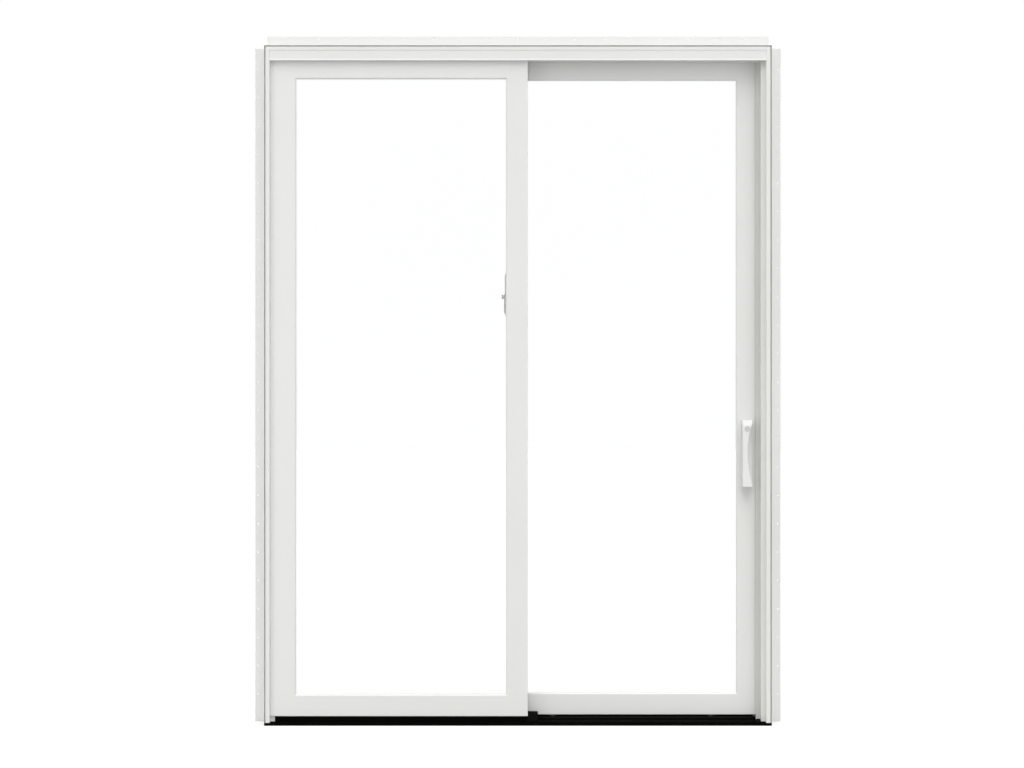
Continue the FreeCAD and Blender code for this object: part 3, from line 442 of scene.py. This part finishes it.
def addScrew(shape, place, outward, radius, height):
    before = set(shape.verts)
    rim = bmesh.ops.create_circle(shape, cap_ends=False, radius=radius, segments=screwLook["round"])["verts"]
    rimEdges = edgesOf(rim)
    raised = bmesh.ops.extrude_edge_only(shape, edges=rimEdges)["geom"]
    shoulder = [item for item in raised if isinstance(item, bmesh.types.BMVert)]
    bmesh.ops.translate(shape, vec=(0, 0, height * screwLook["shoulderHigh"]), verts=shoulder)
    bmesh.ops.scale(shape, vec=(screwLook["shoulderWide"], screwLook["shoulderWide"], 1), verts=shoulder)
    shoulderSet = set(shoulder)
    shoulderEdges = [edge for edge in edgesOf(shoulder) if set(edge.verts) <= shoulderSet]
    slot, reach = radius * screwLook["slot"], radius * screwLook["reach"]
    outline = [
        (reach, -slot), (reach, slot), (slot, slot), (slot, reach), (-slot, reach), (-slot, slot),
        (-reach, slot), (-reach, -slot), (-slot, -slot), (-slot, -reach), (slot, -reach), (slot, -slot),
    ]
    cross = [shape.verts.new((x, y, height)) for x, y in outline]
    crossEdges = [shape.edges.new((cross[i - 1], cross[i])) for i in range(len(cross))]
    bmesh.ops.bridge_loops(shape, edges=shoulderEdges + crossEdges)
    sunk = bmesh.ops.extrude_edge_only(shape, edges=crossEdges)["geom"]
    deep = [item for item in sunk if isinstance(item, bmesh.types.BMVert)]
    bmesh.ops.translate(shape, vec=(0, 0, -screwLook["recess"]), verts=deep)
    bmesh.ops.scale(shape, vec=(screwLook["floorWide"], screwLook["floorWide"], 1), verts=deep)
    deepSet = set(deep)
    bmesh.ops.edgeloop_fill(shape, edges=[edge for edge in edgesOf(deep) if set(edge.verts) <= deepSet])
    bmesh.ops.edgeloop_fill(shape, edges=rimEdges)
    made = [vert for vert in shape.verts if vert not in before]
    faces = list(dict.fromkeys(face for vert in made for face in vert.link_faces))
    bmesh.ops.recalc_face_normals(shape, faces=faces)
    turn = Vector((0, 0, 1)).rotation_difference(Vector(outward)).to_matrix().to_4x4()
    bmesh.ops.transform(shape, matrix=Matrix.Translation(place) @ turn, verts=made)


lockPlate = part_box("lock_face_plate")
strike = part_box("strike_plate")
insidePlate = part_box("inside_handle_plate")
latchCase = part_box("night_latch_case")
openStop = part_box("open_stop")
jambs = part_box("left_jamb"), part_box("right_jamb")
panelMiddle = (panelFront + panelBack) / 2
lockMiddle = (lockPlate[0].z + lockPlate[1].z) / 2

panelScrewLook = {  # a head is a radius and a height
    "lockHead": (0.0036, 0.0008), "lockRises": (-0.075, 0.075),
    "handleHead": (0.0036, 0.0012), "handleRises": (-0.05, 0.05), "handleInset": 0.0065,
    "latchHead": (0.003, 0.0008), "latchInset": 0.03,
    "latchUpper": 0.004,  # the case is thinner above its knob
}
panelScrews = bmesh.new()
for rise in panelScrewLook["lockRises"]:
    place = lockPlate[1].x, panelMiddle, lockMiddle + rise
    addScrew(panelScrews, place, (1, 0, 0), *panelScrewLook["lockHead"])
for rise in panelScrewLook["handleRises"]:
    place = insidePlate[1].x - panelScrewLook["handleInset"], insidePlate[1].y, lockMiddle + rise
    addScrew(panelScrews, place, (0, 1, 0), *panelScrewLook["handleHead"])
for face, height in (
    (latchCase[0].x, latchCase[0].z + panelScrewLook["latchInset"]),
    (latchCase[1].x - panelScrewLook["latchUpper"], latchCase[1].z - panelScrewLook["latchInset"]),
):
    addScrew(panelScrews, (face, panelMiddle, height), (-1, 0, 0), *panelScrewLook["latchHead"])
settle("panelScrews", panelScrews, "sliding_panel", platedSteel)

frameScrewLook = {
    "strikeHead": (0.0036, 0.0008), "strikeRises": (-0.058, 0.058),
    "stopHead": (0.0034, 0.0012), "stopPlaces": (0.01, 0.036),
    "jambHead": (0.004, 0.0018), "jambDepths": (-0.022, 0.016, 0.052), "jambInset": 0.01,
}
frameScrews = bmesh.new()
for rise in frameScrewLook["strikeRises"]:
    place = strike[0].x, panelMiddle, lockMiddle + rise
    addScrew(frameScrews, place, (-1, 0, 0), *frameScrewLook["strikeHead"])
for along in frameScrewLook["stopPlaces"]:
    place = openStop[0].x + along, panelMiddle, openStop[0].z
    addScrew(frameScrews, place, (0, 0, -1), *frameScrewLook["stopHead"])
for face, top, side in ((jambs[0][0].x, jambs[0][1].z, -1), (jambs[1][1].x, jambs[1][1].z, 1)):
    for depth in frameScrewLook["jambDepths"]:
        place = face, depth, top - frameScrewLook["jambInset"]
        addScrew(frameScrews, place, (side, 0, 0), *frameScrewLook["jambHead"])
settle("frameScrews", frameScrews, "frame", platedSteel)
print("screws made")


# ridges along the sill's outer ledge, which slopes down to the outside

ridgeLook = {
    "first": 0.0035, "pitch": 0.0042, "count": 4,
    "wide": 0.0014, "high": 0.0009, "sunk": 0.0003, "ease": 0.0003,
    "slopeStart": 0.002, "slopeEnd": 0.005,  # behind the sill's front and behind the parting strips
}
sillLow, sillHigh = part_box("sill")
slopeFront, slopeBack = sillLow.y + ridgeLook["slopeStart"], strips[1].y + ridgeLook["slopeEnd"]
ledgeFoot = jambs[0][0].z
ridges = bmesh.new()
for index in range(ridgeLook["count"]):
    depth = sillLow.y + ridgeLook["first"] + ridgeLook["pitch"] * index
    ledge = ledgeFoot + (sillHigh.z - ledgeFoot) * (depth - slopeFront) / (slopeBack - slopeFront)
    addBar(
        ridges, (jambs[0][1].x, depth, ledge - ridgeLook["sunk"]),
        (jambs[1][0].x, depth + ridgeLook["wide"], ledge + ridgeLook["high"]), ridgeLook["ease"],
    )
settle("sillRidges", ridges, "frame", sillBlack)
print("sill ridges made")


# floor, light and camera

floorLook = {
    "half": 40, "down": 0.0006,
    "seen": (0.62, 0.41), "unseen": (0, 0.45),  # glow and matt share
}
floorShape = bmesh.new()
bmesh.ops.create_grid(floorShape, x_segments=1, y_segments=1, size=floorLook["half"])
bmesh.ops.translate(floorShape, vec=(0, 0, -floorLook["down"]), verts=floorShape.verts)
floorMesh = bpy.data.meshes.new("floor")
floorShape.to_mesh(floorMesh)
floorShape.free()
floor = bpy.data.objects.new("floor", floorMesh)
scene.collection.objects.link(floor)


def mathOf(tree, operation, first, second):
    step = tree.nodes.new("ShaderNodeMath")
    step.operation = operation
    for socket, value in zip(step.inputs, (first, second)):
        if isinstance(value, bpy.types.NodeSocket):
            tree.links.new(value, socket)
        else:
            socket.default_value = value
    return step.outputs["Value"]


def seenWhite(tree):  # 1 for the camera and for what gloss and glass show
    path = tree.nodes.new("ShaderNodeLightPath").outputs
    straight = mathOf(tree, "MAXIMUM", path["Is Camera Ray"], path["Is Glossy Ray"])
    return mathOf(tree, "MAXIMUM", straight, path["Is Transmission Ray"])


def glowingMatt(tree, glow, matt):
    spread = tree.nodes.new("ShaderNodeBsdfDiffuse")
    spread.inputs["Color"].default_value = (matt, matt, matt, 1)
    shine = tree.nodes.new("ShaderNodeEmission")
    shine.inputs["Strength"].default_value = glow
    both = tree.nodes.new("ShaderNodeAddShader")
    tree.links.new(spread.outputs[0], both.inputs[0])
    tree.links.new(shine.outputs[0], both.inputs[1])
    return both.outputs[0]


def paleFloor(look):
    finish = bpy.data.materials.new("paleFloor")
    finish.use_nodes = True
    tree = finish.node_tree
    tree.nodes.remove(tree.nodes["Principled BSDF"])
    pick = tree.nodes.new("ShaderNodeMixShader")
    tree.links.new(seenWhite(tree), pick.inputs["Fac"])
    tree.links.new(glowingMatt(tree, *look["unseen"]), pick.inputs[1])
    tree.links.new(glowingMatt(tree, *look["seen"]), pick.inputs[2])
    tree.links.new(pick.outputs[0], tree.nodes["Material Output"].inputs["Surface"])
    return finish


floorMesh.materials.append(paleFloor(floorLook))

lightLook = {
    "front": 0.31, "back": 1.0, "turn": (0.0, 0.6),  # dome, and where it turns brighter
    "axis": (0, -0.469, 0.883), "over": 4.5, "power": 10,  # lobe from above
    "lamp": 98, "size": 3.8, "places": [(-6.0, -4.2, 2.6), (6.0, -4.2, 2.6)], "aim": (0, 0, 1.2),
}
world = bpy.data.worlds.new("studio")
world.use_nodes = True
scene.world = world
sky = world.node_tree
backdrop = sky.nodes["Background"]
backdrop.inputs["Color"].default_value = (1, 1, 1, 1)
skyward = sky.nodes.new("ShaderNodeTexCoord").outputs["Generated"]


def towards(tree, vector, axis):
    along = tree.nodes.new("ShaderNodeVectorMath")
    along.operation = "DOT_PRODUCT"
    along.inputs[1].default_value = axis
    tree.links.new(vector, along.inputs[0])
    return along.outputs["Value"]


dome = sky.nodes.new("ShaderNodeMapRange")  # even in front, brighter behind
domeRange = *lightLook["turn"], lightLook["front"], lightLook["back"]
for socketName, value in zip(("From Min", "From Max", "To Min", "To Max"), domeRange):
    dome.inputs[socketName].default_value = value
sky.links.new(towards(sky, skyward, (0, 1, 0)), dome.inputs["Value"])
lobe = mathOf(sky, "MAXIMUM", towards(sky, skyward, lightLook["axis"]), 0)  # brighter overhead
lobe = mathOf(sky, "MULTIPLY", mathOf(sky, "POWER", lobe, lightLook["power"]), lightLook["over"])
fade = mathOf(sky, "ADD", dome.outputs["Result"], lobe)
strength = sky.nodes.new("ShaderNodeMix")
strength.inputs["B"].default_value = 1
sky.links.new(seenWhite(sky), strength.inputs["Factor"])
sky.links.new(fade, strength.inputs["A"])
sky.links.new(strength.outputs["Result"], backdrop.inputs["Strength"])

lamp = bpy.data.lights.new("softbox", "AREA")
lamp.shape = "SQUARE"
lamp.size = lightLook["size"]
lamp.energy = lightLook["lamp"]
for place in lightLook["places"]:  # one on each side
    softbox = bpy.data.objects.new("softbox", lamp)
    softbox.location = place
    aim = Vector(lightLook["aim"]) - softbox.location
    softbox.rotation_euler = aim.to_track_quat("-Z", "Y").to_euler()
    scene.collection.objects.link(softbox)

viewLook = {"place": (-0.0212, -9.542, 1.2182), "lens": 93.7, "sensor": 36}
lens = bpy.data.cameras.new("camera")
lens.lens = viewLook["lens"]
lens.sensor_width = viewLook["sensor"]
camera = bpy.data.objects.new("camera", lens)
camera.location = viewLook["place"]
camera.rotation_euler = (math.radians(90), 0, 0)
scene.collection.objects.link(camera)
scene.camera = camera
print("floor, light and camera set")
